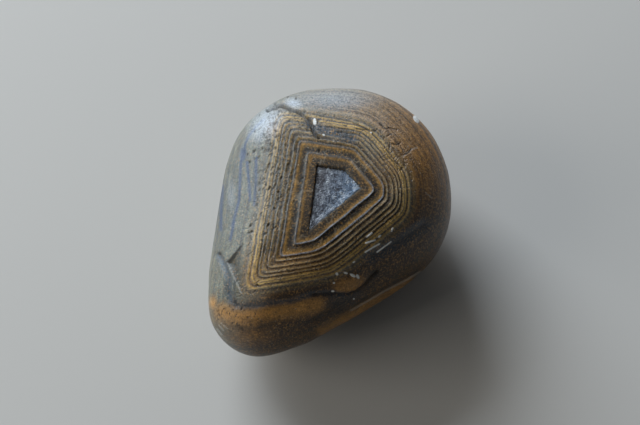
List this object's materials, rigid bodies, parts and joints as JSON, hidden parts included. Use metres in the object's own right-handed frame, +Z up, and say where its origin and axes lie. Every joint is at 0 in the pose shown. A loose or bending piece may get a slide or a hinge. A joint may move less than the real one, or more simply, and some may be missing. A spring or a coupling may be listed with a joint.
{
  "type": "polished agate",
  "caption": "Water-worn, wax-polished banded agate pebble with stepped five-sided bands round a sunken, kite-shaped quartz pocket; rests loose on a flat surface.",
  "frame": {"origin": "middle of the bounding box's underside, on the surface that the stone rests on", "axes": "+Z up out of the surface, +Y towards the broad back of the stone, along its length, +X to the right"},
  "size_m": [0.0404, 0.0484, 0.0261],
  "materials": {
    "banded_agate": "waxy, water-worn polish; ochre, tan, brown and blue-grey bands",
    "sugary_quartz": "sugary, grey-white, slightly see-through quartz crystals"
  },
  "bodies": {
    "root": {"agate_pebble": "banded_agate", "quartz_crust": "sugary_quartz"}
  },
  "joints": []
}
